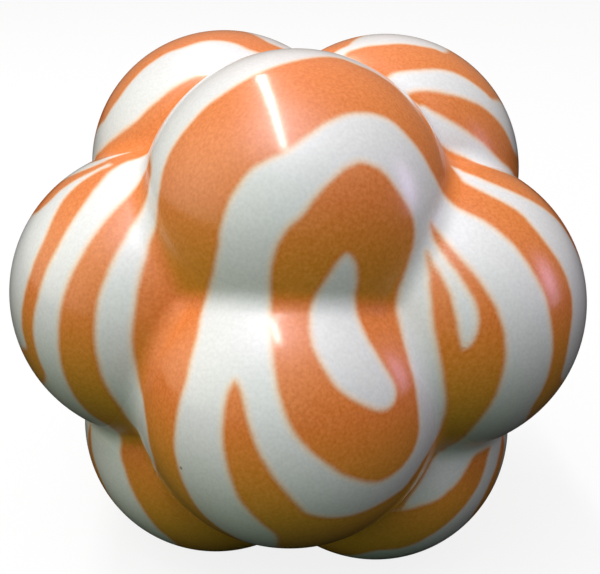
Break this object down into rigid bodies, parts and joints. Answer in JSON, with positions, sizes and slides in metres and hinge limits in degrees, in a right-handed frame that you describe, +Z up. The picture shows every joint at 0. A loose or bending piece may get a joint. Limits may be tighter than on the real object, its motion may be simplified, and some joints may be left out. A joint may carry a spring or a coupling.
{
  "type": "bouncy ball",
  "caption": "Solid rubber bouncy ball made of rounded lobes with soft valleys between them, so that it bounces in odd directions.",
  "frame": {"origin": "centre of the ball, where the lines through opposite lobes cross", "axes": "+Z up, through the middle of the three lobes that the ball rests on; +Y away from the side that the picture shows; +X to the right in the picture"},
  "size_m": [0.0644, 0.0694, 0.0624],
  "materials": {
    "ball": "glossy, white with wandering orange stripes"
  },
  "bodies": {
    "root": {"ball": "ball"}
  },
  "joints": []
}
